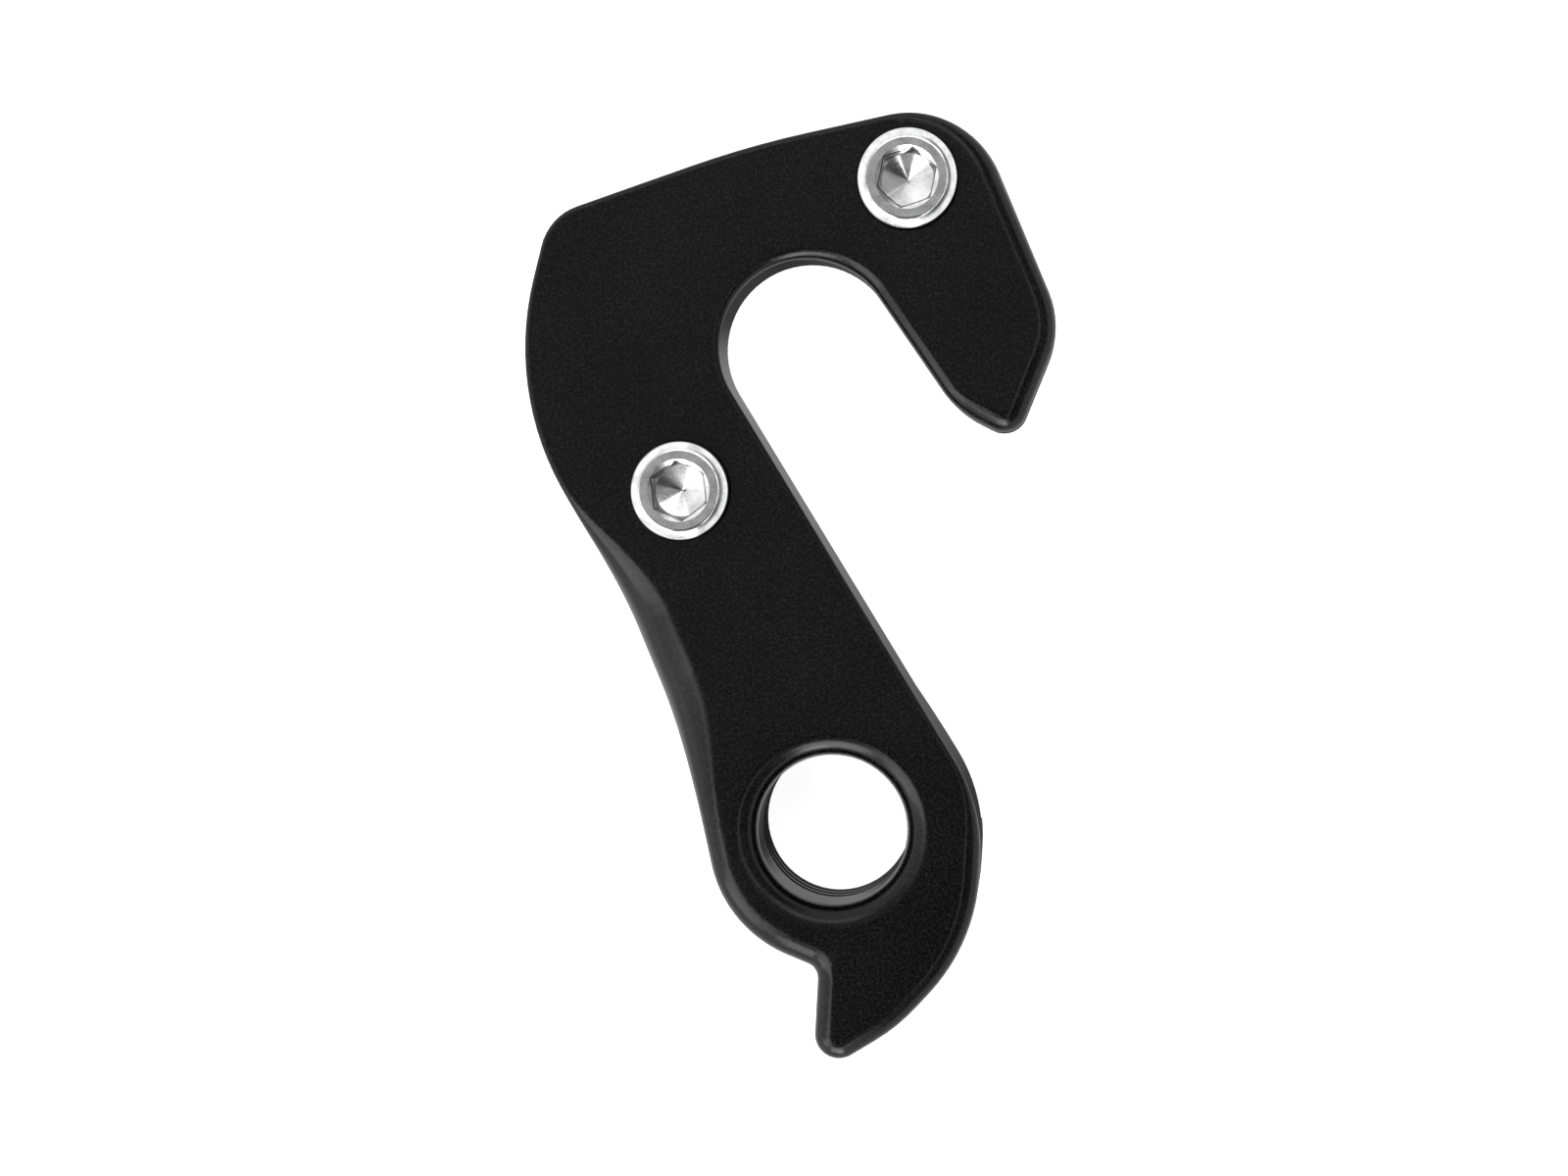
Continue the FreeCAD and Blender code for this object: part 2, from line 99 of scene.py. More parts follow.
class Side(Enum):
    """Where a screw fastens the hanger to the frame."""

    UPPER = "upper"
    LOWER = "lower"


class Cut(Enum):
    """Ways to combine two solids."""

    DIFFERENCE = "DIFFERENCE"
    INTERSECT = "INTERSECT"
    UNION = "UNION"


class Pace(Enum):
    """How a fade gets from its first level to its last."""

    EVEN = "LINEAR"
    SMOOTH = "SMOOTHSTEP"


# Shader expressions


class Expression:
    """Number carried by a shader socket, which takes part in arithmetic."""

    def __init__(self, graph: "Graph", socket: bpy.types.NodeSocket) -> None:
        """Wrap a socket.

        Args:
            graph: The node tree's builder.
            socket: Output socket that carries the number.
        """
        self.graph = graph
        self.socket = socket

    def _combine(self, operation: str, first: Value, second: Value) -> "Expression":
        """Add one Math node.

        Args:
            operation: The Math node's operation.
            first: Left operand.
            second: Right operand.

        Returns:
            The node's result.
        """
        node = self.graph.add("ShaderNodeMath", {"operation": operation}, {0: first, 1: second})
        return Expression(self.graph, node.outputs[0])

    def __add__(self, other: Value) -> "Expression":
        """Sum."""
        return self._combine("ADD", self, other)

    def __radd__(self, other: Value) -> "Expression":
        """Sum with a number on the left."""
        return self._combine("ADD", other, self)

    def __sub__(self, other: Value) -> "Expression":
        """Difference."""
        return self._combine("SUBTRACT", self, other)

    def __rsub__(self, other: Value) -> "Expression":
        """Difference from a number on the left."""
        return self._combine("SUBTRACT", other, self)

    def __mul__(self, other: Value) -> "Expression":
        """Product."""
        return self._combine("MULTIPLY", self, other)

    def __rmul__(self, other: Value) -> "Expression":
        """Product with a number on the left."""
        return self._combine("MULTIPLY", other, self)

    def __abs__(self) -> "Expression":
        """The number without its sign."""
        return self._combine("ABSOLUTE", self, 0.0)

    def larger(self, other: Value) -> "Expression":
        """The larger of two numbers."""
        return self._combine("MAXIMUM", self, other)

    def swing(self, gain: float) -> "Expression":
        """How far the number is from a half, times a gain."""
        return (self - 0.5) * gain


@dataclass(frozen=True)
class Fade:
    """Change from one level to another while a number passes over a range."""

    start: float
    end: float
    before: float
    after: float
    pace: Pace = Pace.SMOOTH


class Graph:
    """Builder of one node tree."""

    def __init__(self, tree: bpy.types.NodeTree) -> None:
        """Start from an empty tree.

        Args:
            tree: Node tree of a material or a world.
        """
        self.tree = tree
        tree.nodes.clear()

    def add(self, kind: str, settings: dict | None = None, inputs: dict | None = None) -> bpy.types.Node:
        """Add a node, set it up, then feed its sockets.

        Args:
            kind: The node's type name.
            settings: Properties of the node; "stops" gives a ramp's places and grey levels.
            inputs: Socket name or number, and its value, expression or output socket.

        Returns:
            The new node.
        """
        node = self.tree.nodes.new(kind)
        for name, value in (settings or {}).items():
            if name == "stops":
                self._set_stops(node.color_ramp, value)
            else:
                setattr(node, name, value)
        for key, value in (inputs or {}).items():
            socket = node.inputs[key]
            if isinstance(value, Expression):
                self.tree.links.new(value.socket, socket)
            elif isinstance(value, bpy.types.NodeSocket):
                self.tree.links.new(value, socket)
            else:
                socket.default_value = value
        return node

    @staticmethod
    def _set_stops(ramp: bpy.types.ColorRamp, stops: Stops) -> None:
        """Give a colour ramp its stops.

        Args:
            ramp: The ramp.
            stops: Pairs of place and grey level, in order.
        """
        while len(ramp.elements) < len(stops):
            ramp.elements.new(0.5)
        for element, (place, grey) in zip(ramp.elements, stops):
            element.position = place
            element.color = (grey, grey, grey, 1.0)

    def value(self, node: bpy.types.Node, output: Union[int, str] = 0) -> Expression:
        """A node's output as a number for arithmetic."""
        return Expression(self, node.outputs[output])

    def ramp(self, number: Expression, stops: Stops) -> Expression:
        """Grey level that a ramp gives for a number."""
        return self.value(self.add("ShaderNodeValToRGB", {"stops": stops}, {"Fac": number}))

    def fade(self, number: Expression, fade: Fade) -> Expression:
        """Level that a fade gives for a number.

        Args:
            number: The number that passes over the fade's range.
            fade: The range, and the levels at its ends.

        Returns:
            The level, which stays the same outside the range.
        """
        node = self.add("ShaderNodeMapRange", {"interpolation_type": fade.pace.value}, {
            "Value": number, "From Min": fade.start, "From Max": fade.end, "To Min": fade.before,
            "To Max": fade.after})
        return self.value(node)

    def blend(self, share: Expression, first: Union[Colour, bpy.types.NodeSocket],
              second: Colour) -> bpy.types.NodeSocket:
        """Mix two colours.

        Args:
            share: How much of the second colour there is, from 0 to 1.
            first: The first colour.
            second: The second colour.

        Returns:
            The mixed colour.
        """
        node = self.add("ShaderNodeMix", {"data_type": "RGBA"}, {
            "Factor": share, MIX_FIRST: first, MIX_SECOND: second})
        return node.outputs[MIX_RESULT]

    def noise(self, place: bpy.types.NodeSocket, size_mm: float, detail: float,
              roughness: float = 0.5) -> Expression:
        """Noise with features of a given size.

        Args:
            place: Coordinates in metres.
            size_mm: Size of the features in millimetres.
            detail: Number of finer octaves.
            roughness: Share of each finer octave.

        Returns:
            Noise from 0 to 1.
        """
        node = self.add("ShaderNodeTexNoise", {"noise_dimensions": "3D"}, {
            "Vector": place, "Scale": 1.0 / (size_mm * MM), "Detail": detail, "Roughness": roughness})
        return self.value(node)

    def relief(self, height: Expression, depth_mm: float, strength: float) -> bpy.types.NodeSocket:
        """Normal of a surface with fine relief.

        Args:
            height: Height of the relief, from 0 to 1.
            depth_mm: Depth of the relief in millimetres.
            strength: How much of it shows, from 0 to 1.

        Returns:
            The bent normal.
        """
        return self.add("ShaderNodeBump", {}, {
            "Strength": strength, "Distance": depth_mm * MM, "Height": height}).outputs["Normal"]

    def cover(self, inputs: dict) -> None:
        """Cover the surface with the Principled shader.

        Args:
            inputs: Socket names, with their values or links.
        """
        skin = self.add("ShaderNodeBsdfPrincipled", {}, inputs)
        self.add("ShaderNodeOutputMaterial", {}, {"Surface": skin.outputs[0]})


def start_material(name: str) -> tuple[bpy.types.Material, Graph, bpy.types.NodeSocket]:
    """Make an empty material.

    Args:
        name: The material's name.

    Returns:
        The material, the builder of its nodes, and its object coordinates in metres.
    """
    material = bpy.data.materials.new(name)
    material.use_nodes = True
    graph = Graph(material.node_tree)
    return material, graph, graph.add("ShaderNodeTexCoord").outputs["Object"]


# Finishes


@dataclass(frozen=True)
class BlastedAnodising:
    """Black anodising over a bead-blasted surface, with a fine grain of lighter specks.

    A gain is how strongly a pattern moves the colour, and a swing is how far it moves the roughness.
    """

    deep: Colour = (0.0002, 0.0002, 0.0003, 1.0)
    dusty: Colour = (0.0115, 0.0115, 0.0119, 1.0)
    refraction: float = 1.36
    grain_mm: float = 0.17
    speck_share: float = 0.45
    cloud_mm: float = 6.0
    grain_gain: float = 3.0
    speck_gain: float = 1.8
    cloud_gain: float = 0.4
    mean_dust: float = 0.20
    roughness: float = 0.21
    grain_swing: float = 0.08
    cloud_swing: float = 0.06
    relief_mm: float = 0.004
    grain_relief: float = 0.7
    speck_relief: float = 0.3

    def make(self, name: str) -> bpy.types.Material:
        """Build the material.

        Args:
            name: The material's name.

        Returns:
            The material.
        """
        material, graph, place = start_material(name)
        grain = graph.noise(place, self.grain_mm, detail=2.0, roughness=0.6)
        speck = graph.noise(place, self.grain_mm * self.speck_share, detail=1.0)
        cloud = graph.noise(place, self.cloud_mm, detail=3.0)
        dust = (grain.swing(self.grain_gain) + speck.swing(self.speck_gain) + cloud.swing(self.cloud_gain)
                + self.mean_dust)
        height = grain * self.grain_relief + speck * self.speck_relief
        graph.cover({
            "Base Color": graph.blend(dust, self.deep, self.dusty),
            "Roughness": grain.swing(self.grain_swing) + cloud.swing(self.cloud_swing) + self.roughness,
            "Metallic": 0.0,
            "IOR": self.refraction,
            "Normal": graph.relief(height, self.relief_mm, strength=1.0),
        })
        return material


@dataclass(frozen=True)
class BrightSteel:
    """Polished plated steel with faint turning rings, and a thin line of painted shade along the edge of the
    socket.
    """

    light: Colour = (0.98, 0.98, 0.99, 1.0)
    shade: Colour = (0.62, 0.62, 0.63, 1.0)
    # Dark colour of the painted shade line along the socket's edge
    painted_shade: Colour = (0.05, 0.05, 0.05, 1.0)
    cloud_mm: float = 0.9
    scratch_mm: float = 0.16
    cloud_gain: float = 2.6
    scratch_gain: float = 1.4
    mean_light: float = 0.6
    roughness: float = 0.12
    scratch_swing: float = 0.08
    cloud_swing: float = 0.05
    ring_mm: float = 0.09
    ring_wander: float = 1.6
    ring_relief: float = 0.6
    scratch_relief: float = 0.4
    relief_mm: float = 0.0012
    relief_strength: float = 0.35
    # Place, spread and patchiness of the painted shade line along the socket's edge
    shade_line_offset_mm: float = 0.025
    shade_line_core_mm: float = 0.025
    shade_line_reach_mm: float = 0.055
    shade_line_rise_mm: float = 0.1
    least_shade_line: float = 0.5
    patchy_shade_line: float = 0.8

    def make(self, name: str, seat: Vector, turn: float, flat_mm: float) -> bpy.types.Material:
        """Build the material.

        Args:
            name: The material's name.
            seat: Where the screw's axis meets its seat, in metres.
            turn: Turn of the socket about its axis, in radians.
            flat_mm: Half of the width across the socket's flats.

        Returns:
            The material.
        """
        material, graph, place = start_material(name)
        centred = graph.add("ShaderNodeMapping", {"vector_type": "TEXTURE"}, {
            "Vector": place, "Location": seat, "Rotation": (0.0, 0.0, turn)}).outputs["Vector"]
        ring = self._rings(graph, centred)
        cloud = graph.noise(place, self.cloud_mm, detail=3.0)
        scratch = graph.noise(place, self.scratch_mm, detail=3.0, roughness=0.65)
        clean = graph.blend(cloud.swing(self.cloud_gain) + scratch.swing(self.scratch_gain) + self.mean_light,
                            self.shade, self.light)
        # Painted shade: a dark line along the socket's edge, made patchy by the scratch noise
        shade_line = self._painted_edge_shade(graph, centred, flat_mm) * (scratch * self.patchy_shade_line + self.least_shade_line)
        height = ring * self.ring_relief + scratch * self.scratch_relief
        graph.cover({
            # The base colour darkens to the painted shade line along the socket's edge
            "Base Color": graph.blend(shade_line, clean, self.painted_shade),
            "Roughness": scratch.swing(self.scratch_swing) + cloud.swing(self.cloud_swing) + self.roughness,
            "Metallic": 1.0,
            "Normal": graph.relief(height, self.relief_mm, self.relief_strength),
        })
        return material

    def _rings(self, graph: Graph, centred: bpy.types.NodeSocket) -> Expression:
        """Fine rings that turning leaves round the screw's axis.

        Args:
            graph: The node tree's builder.
            centred: Coordinates from the screw's seat.

        Returns:
            Height of the rings, from 0 to 1.
        """
        rings = graph.add("ShaderNodeTexWave", {
            "wave_type": "RINGS", "rings_direction": "Z", "wave_profile": "SIN"}, {
            "Vector": centred, "Scale": WAVE_LENGTH / (self.ring_mm * MM), "Distortion": self.ring_wander,
            "Detail": 2.0, "Detail Scale": 1.5})
        return graph.value(rings, "Fac")

    def _painted_edge_shade(self, graph: Graph, centred: bpy.types.NodeSocket, flat_mm: float) -> Expression:
        """Thin dark line of painted shade along the socket's edge, standing in for the socket's rim in
        shadow.

        It lies just outside the flats, fades from its core to its reach, and shows only in the head.

        Args:
            graph: The node tree's builder.
            centred: Coordinates from the screw's seat, turned with the socket.
            flat_mm: Half of the width across the socket's flats.

        Returns:
            Painted shade from 0 to 1.
        """
        parts = graph.add("ShaderNodeSeparateXYZ", {}, {"Vector": centred})
        across = graph.value(parts, "X")
        half_across = across * 0.5
        slant = graph.value(parts, "Y") * (math.sqrt(3) / 2)
        hexagon = abs(across).larger(abs(half_across + slant)).larger(abs(half_across - slant))
        edge = (flat_mm + self.shade_line_offset_mm) * MM
        fading = Fade(self.shade_line_core_mm * MM, self.shade_line_reach_mm * MM, before=1.0, after=0.0)
        line = graph.fade(abs(hexagon - edge), fading)
        rising = Fade(0.0, self.shade_line_rise_mm * MM, before=0.0, after=1.0, pace=Pace.EVEN)
        return line * graph.fade(graph.value(parts, "Z"), rising)


@dataclass(frozen=True)
class PaleFloor:
    """White table top, bright enough to stay white under the part."""

    dim: Colour = (0.80, 0.80, 0.80, 1.0)
    pale: Colour = (0.90, 0.90, 0.90, 1.0)
    fleck_mm: float = 40.0
    fleck_share: float = 0.5
    roughness: float = 0.9
    specular: float = 0.1
    glow: float = 0.88

    def make(self, name: str) -> bpy.types.Material:
        """Build the material.

        Args:
            name: The material's name.

        Returns:
            The material.
        """
        material, graph, place = start_material(name)
        fleck = graph.noise(place, self.fleck_mm, detail=2.0)
        graph.cover({
            "Base Color": graph.blend(fleck * self.fleck_share, self.dim, self.pale),
            "Roughness": self.roughness,
            "Specular IOR Level": self.specular,
            "Emission Color": WHITE,
            "Emission Strength": self.glow,
        })
        return material


# Mesh helpers


def cylinder(radius: float, low: float, high: float, sides: int,
             top_radius: float | None = None) -> bmesh.types.BMesh:
    """Closed cylinder or cone frustum about Z.

    Args:
        radius: Radius at the low end, in millimetres.
        low: Height of the low end.
        high: Height of the high end.
        sides: Number of sides.
        top_radius: Radius at the high end, if it differs.

    Returns:
        The new mesh.
    """
    mesh = bmesh.new()
    bmesh.ops.create_cone(mesh, cap_ends=True, segments=sides, radius1=radius,
                          radius2=radius if top_radius is None else top_radius, depth=high - low)
    bmesh.ops.translate(mesh, verts=mesh.verts, vec=(0.0, 0.0, (low + high) / 2))
    return mesh


def is_level(vert: bmesh.types.BMVert, level: float) -> bool:
    """Whether a vertex lies at one height."""
    return abs(vert.co.z - level) < SAME_LEVEL


def round_level(mesh: bmesh.types.BMesh, level: float, width: float, steps: int) -> None:
    """Bevel the ring of edges that lies flat at one height.

    Args:
        mesh: Mesh of a solid of revolution.
        level: Height of the ring.
        width: Width of the bevel.
        steps: Number of strips.
    """
    ring = [edge for edge in mesh.edges if all(is_level(vert, level) for vert in edge.verts)]
    bmesh.ops.bevel(mesh, geom=ring, offset=width, offset_type="OFFSET", affect="EDGES", segments=steps,
                    profile=0.5, material=-1)


def link(name: str, data: bpy.types.ID) -> bpy.types.Object:
    """Put data in the scene as a new object.

    Args:
        name: Name of the object.
        data: A mesh, light or camera.

    Returns:
        The new object.
    """
    thing = bpy.data.objects.new(name, data)
    bpy.context.scene.collection.objects.link(thing)
    return thing


def as_object(mesh: bmesh.types.BMesh, name: str) -> bpy.types.Object:
    """Put a mesh in the scene, and free the editing copy.

    Args:
        mesh: The mesh.
        name: Name of the object.

    Returns:
        The new object.
    """
    bmesh.ops.recalc_face_normals(mesh, faces=mesh.faces)
    data = bpy.data.meshes.new(name)
    mesh.to_mesh(data)
    mesh.free()
    return link(name, data)


def combine(target: bpy.types.Object, tool: bpy.types.Object, cut: Cut) -> None:
    """Combine a solid with a tool that is then removed.

    Args:
        target: The solid, which is changed.
        tool: The other solid.
        cut: How they are combined.
    """
    step = target.modifiers.new("combine", "BOOLEAN")
    step.operation = cut.value
    step.solver = "EXACT"
    step.object = tool
    bpy.context.view_layer.update()
    shaped = bpy.data.meshes.new_from_object(target.evaluated_get(bpy.context.evaluated_depsgraph_get()))
    target.modifiers.remove(step)
    old = target.data
    target.data = shaped
    bpy.data.meshes.remove(old)
    leftover = tool.data
    bpy.data.objects.remove(tool)
    bpy.data.meshes.remove(leftover)


def shade(thing: bpy.types.Object, crisp_deg: float) -> None:
    """Shade smooth with crisp edges, and keep the flats flat.

    Args:
        thing: A finished mesh object.
        crisp_deg: Edges that turn by this or more stay crisp.
    """
    mesh = bmesh.new()
    mesh.from_mesh(thing.data)
    for face in mesh.faces:
        face.smooth = True
    for edge in mesh.edges:
        edge.smooth = len(edge.link_faces) == 2 and edge.calc_face_angle(math.pi) < math.radians(crisp_deg)
    mesh.to_mesh(thing.data)
    mesh.free()
    weighted = thing.modifiers.new("flats", "WEIGHTED_NORMAL")
    weighted.mode = "FACE_AREA"
    weighted.keep_sharp = True


def place_mesh(thing: bpy.types.Object, matrix: Matrix) -> None:
    """Move an object's mesh, while the object stays at the origin.

    Args:
        thing: The object.
        matrix: The move.
    """
    thing.data.transform(matrix)
    thing.data.update()


def dress(thing: bpy.types.Object, material: bpy.types.Material) -> None:
    """Give an object one material.

    Args:
        thing: The object.
        material: The material.
    """
    thing.data.materials.clear()
    thing.data.materials.append(material)


@dataclass(frozen=True)
class Thread:
    """Metric thread as one helical ridge, in millimetres.

    Half of the flat crest is given as a share of the pitch. The flank's angle is from square to the axis.
    """

    crest_radius: float
    base_radius: float
    pitch: float
    turn_steps: int = 56
    crest_share: float = 1 / 16
    flank_deg: float = 30.0

    def ridge(self, low: float, high: float, name: str) -> bpy.types.Object:
        """Ridge that winds up between two heights.

        Args:
            low: Height where it begins.
            high: Height where it ends.
            name: Name of the object.

        Returns:
            The ridge as a closed solid.
        """
        mesh = bmesh.new()
        crest = self.pitch * self.crest_share
        base = crest + (self.crest_radius - self.base_radius) * math.tan(math.radians(self.flank_deg))
        corners = [mesh.verts.new(Vector(corner)) for corner in (
            (self.base_radius, 0.0, low - base), (self.crest_radius, 0.0, low - crest),
            (self.crest_radius, 0.0, low + crest), (self.base_radius, 0.0, low + base))]
        for first, second in zip(corners, corners[1:] + corners[:1]):
            mesh.edges.new((first, second))
        turns = (high - low) / self.pitch
        steps = round(turns * self.turn_steps)
        climb = (high - low) / steps
        bmesh.ops.spin(mesh, geom=mesh.verts[:] + mesh.edges[:], cent=(0, 0, 0), axis=(0, 0, 1),
                       dvec=(0, 0, climb), angle=turns * math.tau, steps=steps, use_merge=False)
        bmesh.ops.holes_fill(mesh, edges=[edge for edge in mesh.edges if edge.is_boundary], sides=0)
        return as_object(mesh, name)


# Pieces


@dataclass
class Hanger:
    """Machined hanger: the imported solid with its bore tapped, in millimetres.

    The thread gets shallower over its runout, half of which lies below the thread's top and half above it.
    """

    node: str = "hanger"
    finish: BlastedAnodising = field(default_factory=BlastedAnodising)
    thread: Thread = Thread(crest_radius=5.0, base_radius=4.3, pitch=1.0, turn_steps=72)
    thread_top: float = 4.4
    runout: float = 0.9
    tap_radius: float = 4.5
    countersink: float = 0.55
    countersink_sides: int = 96
    weld: float = 0.0005
    crisp_deg: float = 30.0

    def build(self) -> bpy.types.Object:
        """Make the piece.

        Returns:
            The finished piece, in place.
        """
        piece = self._copy_solid()
        self._tap(piece)
        place_mesh(piece, Matrix.Scale(MM, 4))
        shade(piece, self.crisp_deg)
        dress(piece, self.finish.make("black_anodised_skin"))
        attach(piece, BODY)
        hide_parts(self.node)
        return piece

    def _copy_solid(self) -> bpy.types.Object:
        """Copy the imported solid, its loose triangles joined.

        Returns:
            The closed copy, in millimetres.
        """
        mesh = bmesh.new()
        mesh.from_mesh(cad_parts[self.node].data)
        bmesh.ops.scale(mesh, verts=mesh.verts, vec=(1 / MM, 1 / MM, 1 / MM))
        bmesh.ops.remove_doubles(mesh, verts=mesh.verts, dist=self.weld)
        return as_object(mesh, "tapped_hanger")

    def _tap(self, piece: bpy.types.Object) -> None:
        """Cut the thread and the countersink behind it.

        Args:
            piece: The hanger, which is changed.
        """
        ridge = self.thread.ridge(-self.thread.pitch, self.thread_top, "tap")
        self._run_out(ridge)
        combine(piece, ridge, Cut.DIFFERENCE)
        mouth = cylinder(self.tap_radius + 2 * self.countersink, -self.countersink, self.countersink,
                         self.countersink_sides, self.tap_radius)
        combine(piece, as_object(mouth, "countersink"), Cut.DIFFERENCE)

    def _run_out(self, ridge: bpy.types.Object) -> None:
        """Shrink the tap's ridge towards its upper end, so that the thread runs out.

        Args:
            ridge: The ridge, which is changed.
        """
        base = self.thread.base_radius
        start = self.thread_top - self.runout / 2
        for vert in ridge.data.vertices:
            over = vert.co.z - start
            if over > 0:
                reach = max(0.0, math.hypot(vert.co.x, vert.co.y) - base)
                keep = max(0.0, 1 - over / self.runout)
                shrink = (base + reach * keep) / (base + reach)
                vert.co.x *= shrink
                vert.co.y *= shrink


@dataclass
class SocketScrew:
    """Low-head hexagon socket screw, in millimetres from its seat."""

    side: Side
    turn_deg: float
    finish: BrightSteel = field(default_factory=BrightSteel)
    sides: int = 96
    crisp_deg: float = 12.0

    # Head, with a rim that is chamfered, then eased by a share of its width
    head_radius: float = 2.975
    head_height: float = 2.0
    rim: float = 0.50
    rim_drop: float = 0.44
    outer_ease: float = 1 / 4
    inner_ease: float = 1 / 3
    ease_steps: int = 6
    seat_ease: float = 0.08
    seat_steps: int = 2

    # Socket, from the axis to a flat, with a lead-in and a drilled cone
    flat: float = 1.55
    socket_depth: float = 1.35
    lead: float = 0.32
    lead_depth: float = 0.17
    cone: float = 0.55
    cone_tip: float = 0.02
    cone_overlap: float = 0.05
    cutter_rise: float = 1.0

    # Shank, which reaches a little into the head
    length: float = 7.0
    core_radius: float = 1.57
    core_overlap: float = 0.05
    point: float = 0.45
    thread: Thread = Thread(crest_radius=2.0, base_radius=1.5, pitch=0.7)
    thread_gap: float = 0.35
    thread_slack: float = 0.001

    @property
    def node(self) -> str:
        """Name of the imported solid."""
        return "mounting_screw_" + self.side.value

    def build(self) -> bpy.types.Object:
        """Make the piece.

        Returns:
            The finished piece, in place.
        """
        piece = self._head()
        self._cut_socket(piece)
        combine(piece, self._shank(), Cut.UNION)
        low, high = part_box(self.node)
        axis = (low + high) / 2
        seat = Vector((axis.x, axis.y, high.z - self.head_height * MM))
        turn = math.radians(self.turn_deg)
        place_mesh(piece, Matrix.Translation(seat) @ Matrix.Rotation(turn, 4, "Z") @ Matrix.Scale(MM, 4))
        shade(piece, self.crisp_deg)
        dress(piece, self.finish.make("bright_steel_" + self.side.value, seat, turn, self.flat))
        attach(piece, BODY)
        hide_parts(self.node)
        return piece

    def _head(self) -> bpy.types.Object:
        """Turn the head, with a chamfered rim whose edges are eased.

        Returns:
            The head, without its socket.
        """
        top = self.head_height
        foot = top - self.rim_drop
        head = cylinder(self.head_radius, 0.0, top, self.sides)
        round_level(head, top, self.rim, 1)
        for vert in head.verts:
            if is_level(vert, top - self.rim):
                vert.co.z = foot
        round_level(head, foot, self.rim * self.outer_ease, self.ease_steps)
        round_level(head, top, self.rim * self.inner_ease, self.ease_steps)
        round_level(head, 0.0, self.seat_ease, self.seat_steps)
        return as_object(head, "socket_screw_" + self.side.value)

    def _cut_socket(self, piece: bpy.types.Object) -> None:
        """Cut the hexagon, its lead-in and the drilled cone under it.

        Args:
            piece: The head, which is changed.
        """
        top = self.head_height
        floor = top - self.socket_depth
        hexagon = cylinder(2 * self.flat / math.sqrt(3), floor, top + self.cutter_rise, sides=6)
        combine(piece, as_object(hexagon, "hexagon"), Cut.DIFFERENCE)
        mouth = cylinder(self.flat, top - self.lead_depth, top + self.lead_depth, self.sides,
                         self.flat + 2 * self.lead)
        combine(piece, as_object(mouth, "lead_in"), Cut.DIFFERENCE)
        cone_top = self.flat * (self.cone + self.cone_overlap) / self.cone
        drill = cylinder(self.cone_tip, floor - self.cone, floor + self.cone_overlap, self.sides, cone_top)
        combine(piece, as_object(drill, "drill_point"), Cut.DIFFERENCE)

    def _shank(self) -> bpy.types.Object:
        """Make the threaded shank with its chamfered end.

        Returns:
            The shank, which reaches a little into the head.
        """
        core = cylinder(self.core_radius, -self.length, self.core_overlap, self.sides)
        round_level(core, -self.length, self.point / 2, 1)
        shank = as_object(core, "shank")
        ridge = self.thread.ridge(-self.length - self.thread.pitch, -self.thread_gap, "ridge")
        envelope = cylinder(self.thread.crest_radius + self.thread_slack, -self.length, 0.0, self.sides)
        round_level(envelope, -self.length, self.point, 1)
        combine(ridge, as_object(envelope, "envelope"), Cut.INTERSECT)
        combine(shank, ridge, Cut.UNION)
        return shank


# Stage


@dataclass(frozen=True)
class SoftBox:
    """Evenly bright panel, placed by the direction in which it is seen from the part."""

    name: str
    azimuth_deg: float
    height_deg: float
    width: float
    height: float
    brightness: float
    distance: float = 0.5

    def build(self) -> None:
        """Hang the light, out of the camera's sight.

        Its power grows with its area, so a panel of any size is as bright as its brightness says.
        """
        lamp = bpy.data.lights.new(self.name, "AREA")
        lamp.shape = "RECTANGLE"
        lamp.size = self.width
        lamp.size_y = self.height
        lamp.energy = self.brightness * math.pi * self.width * self.height
        azimuth = math.radians(self.azimuth_deg)
        height = math.radians(self.height_deg)
        outward = Vector((math.cos(azimuth) * math.cos(height), math.sin(azimuth) * math.cos(height),
                          math.sin(height)))
        thing = link(self.name, lamp)
        thing.location = outward * self.distance
        thing.rotation_euler = (-outward).to_track_quat("-Z", "Y").to_euler()
        thing.visible_camera = False


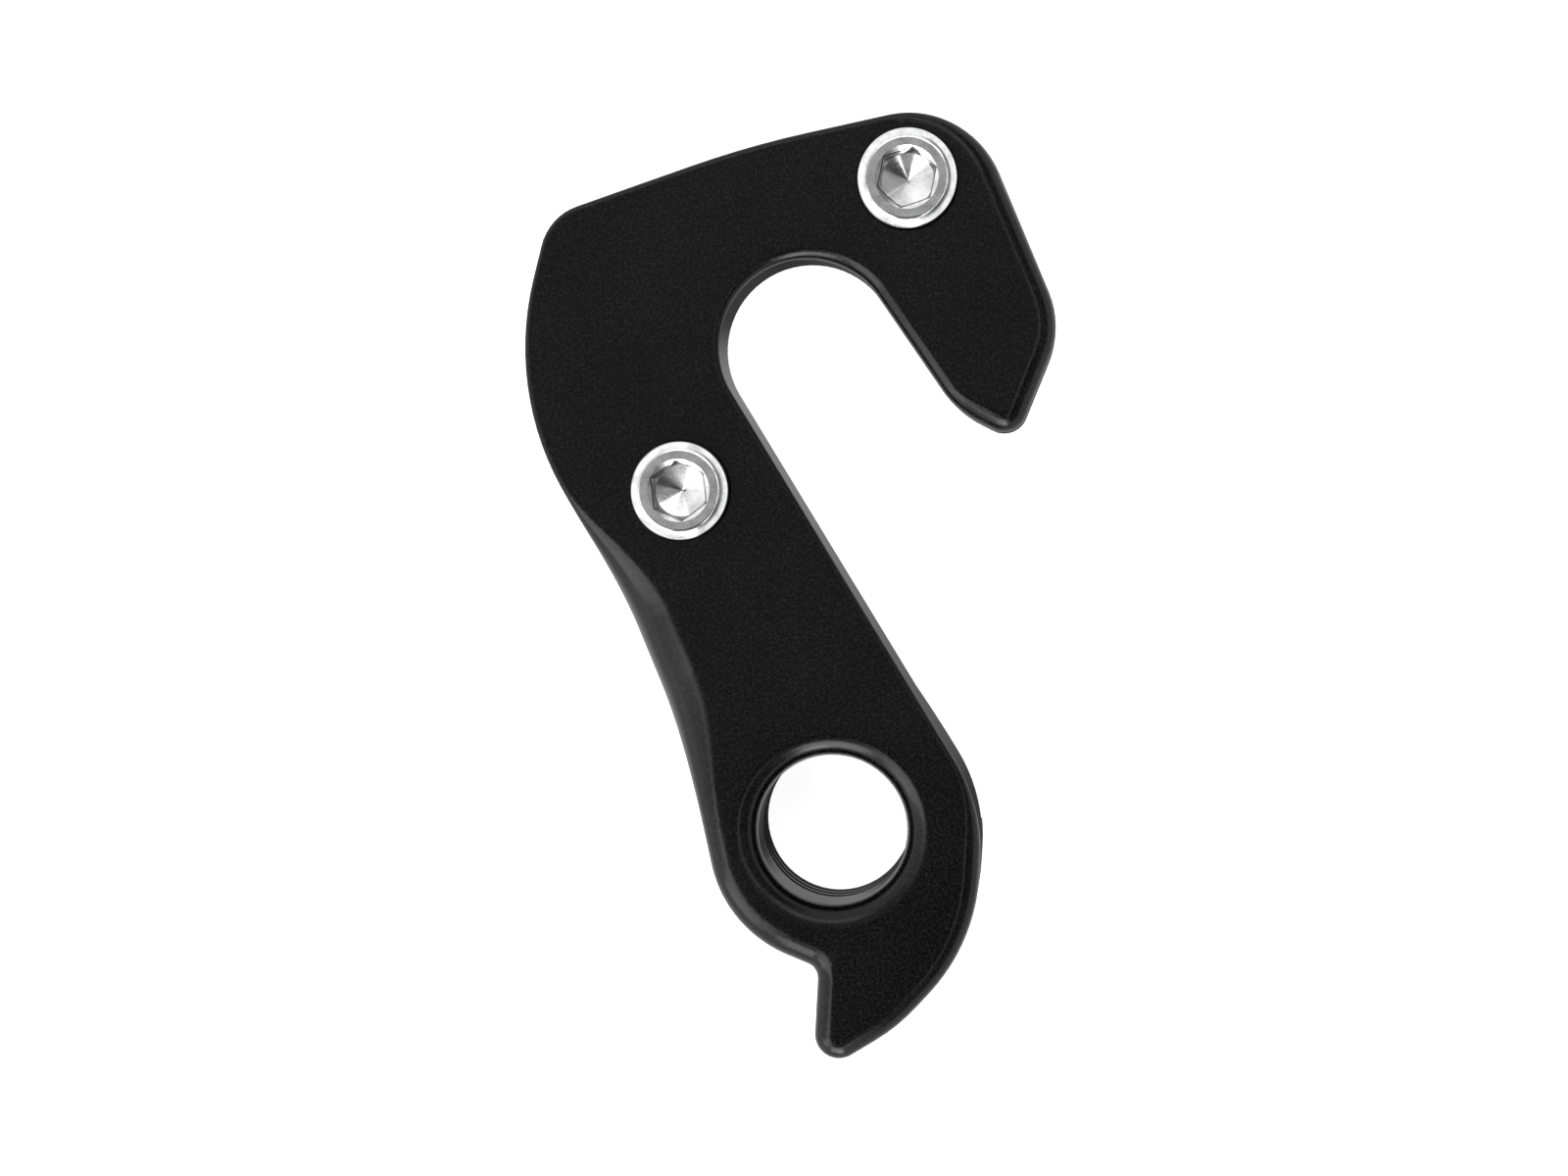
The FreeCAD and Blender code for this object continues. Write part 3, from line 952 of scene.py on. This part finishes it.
@dataclass(frozen=True)
class Room:
    """Room that the part reflects, while the camera itself sees plain white behind the part.

    The ramps give brightness by height: 0 is straight down, 0.5 is the horizon and 1 is straight up. The
    fades change it by how far a direction leans to the right, to the side away from the viewer, or both.
    """

    horizon: Stops = ((0.0, 0.0), (0.38, 0.0), (0.46, 1.05), (0.62, 1.05), (0.69, 0.0), (1.0, 0.0))
    walls: Stops = ((0.0, 0.0), (0.62, 0.0), (0.69, 1.05), (0.83, 1.00), (0.92, 0.25), (1.0, 0.0))
    table: Stops = ((0.0, 1.0), (0.34, 1.0), (0.46, 0.0), (1.0, 0.0))
    ceiling: Stops = ((0.0, 0.0), (0.78, 0.0), (0.88, 0.20), (0.965, 0.34), (1.0, 0.34))
    left_boost: Fade = Fade(-0.80, -0.35, 1.25, 1.0)
    right_walls: Fade = Fade(0.05, 0.50, 1.0, 0.20)
    viewer_ceiling: Fade = Fade(-0.20, -0.05, 0.0, 1.0)
    table_under: Fade = Fade(-0.05, 0.12, 0.05, 0.45)
    table_away: Fade = Fade(0.31, 0.54, 0.0, 0.95)

    def build(self) -> None:
        """Light the world.

        A bright band runs all round at the horizon. The walls above it are darker on the right, and the grey
        ceiling ends before the viewer's side. The table below it is bright all round and dark right under the
        part. Band and table are a little brighter on the far left.
        """
        world = bpy.data.worlds.new("studio")
        bpy.context.scene.world = world
        world.use_nodes = True
        graph = Graph(world.node_tree)
        direction = graph.add("ShaderNodeTexCoord").outputs["Generated"]
        parts = graph.add("ShaderNodeSeparateXYZ", {}, {"Vector": direction})
        right = graph.value(parts, "X")
        far = graph.value(parts, "Y")
        height = graph.value(parts, "Z") * 0.5 + 0.5
        under = graph.fade(far, self.table_under)
        away = graph.fade(abs(right) + abs(far), self.table_away)
        table = graph.ramp(height, self.table) * (under + away * (1.0 - under))
        low_room = (graph.ramp(height, self.horizon) + table) * graph.fade(right, self.left_boost)
        walls = graph.ramp(height, self.walls) * graph.fade(right, self.right_walls)
        ceiling = graph.ramp(height, self.ceiling) * graph.fade(far, self.viewer_ceiling)
        seen = graph.value(graph.add("ShaderNodeLightPath"), "Is Camera Ray")
        level = seen + (1.0 - seen) * (low_room + walls + ceiling)
        sky = graph.add("ShaderNodeBackground", {}, {"Color": WHITE, "Strength": level})
        graph.add("ShaderNodeOutputWorld", {}, {"Surface": sky.outputs[0]})


@dataclass
class Studio:
    """Pale floor, soft light and the camera, in metres."""

    eye: tuple[float, float, float] = (0.012087, 0.020554, 0.163)
    aim: tuple[float, float, float] = (-0.002825, 0.014589, 0.008)
    focal_px: float = 2664.7
    image_px: float = 1600.0
    sensor_mm: float = 36.0
    nearest: float = 0.005
    farthest: float = 10.0
    floor_half: float = 0.6
    floor_gap: float = 0.00001
    room: Room = field(default_factory=Room)
    lights: tuple[SoftBox, ...] = (
        SoftBox("left_box", -157.0, 29.0, 0.28, 0.44, 0.25),
        SoftBox("left_panel", -157.0, 62.0, 0.28, 0.14, 0.75),
        SoftBox("lower_left_box", -140.0, 42.0, 0.20, 0.44, 2.9),
        SoftBox("low_box", -97.0, 31.0, 0.30, 0.31, 4.8),
        SoftBox("low_lamp", -83.0, 18.0, 0.15, 0.15, 4.0),
        SoftBox("high_strip", 85.0, 60.0, 0.40, 0.14, 1.4),
        SoftBox("right_strip", -15.0, 71.0, 0.40, 0.04, 2.2),
    )

    def build(self) -> None:
        """Set the stage."""
        scene = bpy.context.scene
        scene.view_settings.view_transform = "Standard"
        scene.view_settings.look = "None"
        self._lay_floor()
        self.room.build()
        for light in self.lights:
            light.build()
        self._set_camera()

    def _lay_floor(self) -> None:
        """Lay the floor that the part rests on, hidden from reflections."""
        low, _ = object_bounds()
        mesh = bmesh.new()
        bmesh.ops.create_grid(mesh, x_segments=1, y_segments=1, size=self.floor_half)
        bmesh.ops.translate(mesh, verts=mesh.verts, vec=(0.0, 0.0, low[2] - self.floor_gap))
        floor = as_object(mesh, "pale_floor")
        dress(floor, PaleFloor().make("pale_table"))
        floor.visible_glossy = False
        floor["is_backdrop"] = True

    def _set_camera(self) -> None:
        """Set the camera above the part, a little to its upper right."""
        camera = bpy.data.cameras.new("camera")
        camera.sensor_fit = "HORIZONTAL"
        camera.sensor_width = self.sensor_mm
        camera.lens = self.sensor_mm * self.focal_px / self.image_px
        camera.clip_start = self.nearest
        camera.clip_end = self.farthest
        eye = Vector(self.eye)
        forward = (Vector(self.aim) - eye).normalized()
        right = forward.cross(Vector((0.0, 1.0, 0.0))).normalized()
        up = right.cross(forward)
        turn = Matrix((right, up, -forward)).transposed().to_4x4()
        thing = link("camera", camera)
        thing.matrix_world = Matrix.Translation(eye) @ turn
        bpy.context.scene.camera = thing


def main() -> None:
    """Build the pieces in order, then the stage."""
    logging.basicConfig(level=logging.INFO, format="%(name)s: %(message)s")
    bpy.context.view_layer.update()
    makers = (Hanger(), SocketScrew(Side.UPPER, turn_deg=-11.7), SocketScrew(Side.LOWER, turn_deg=6.3))
    for maker in makers:
        piece = maker.build()
        LOG.info("%s: %d faces, in place of %s", piece.name, len(piece.data.polygons), maker.node)
    Studio().build()


if __name__ == "__main__":
    main()
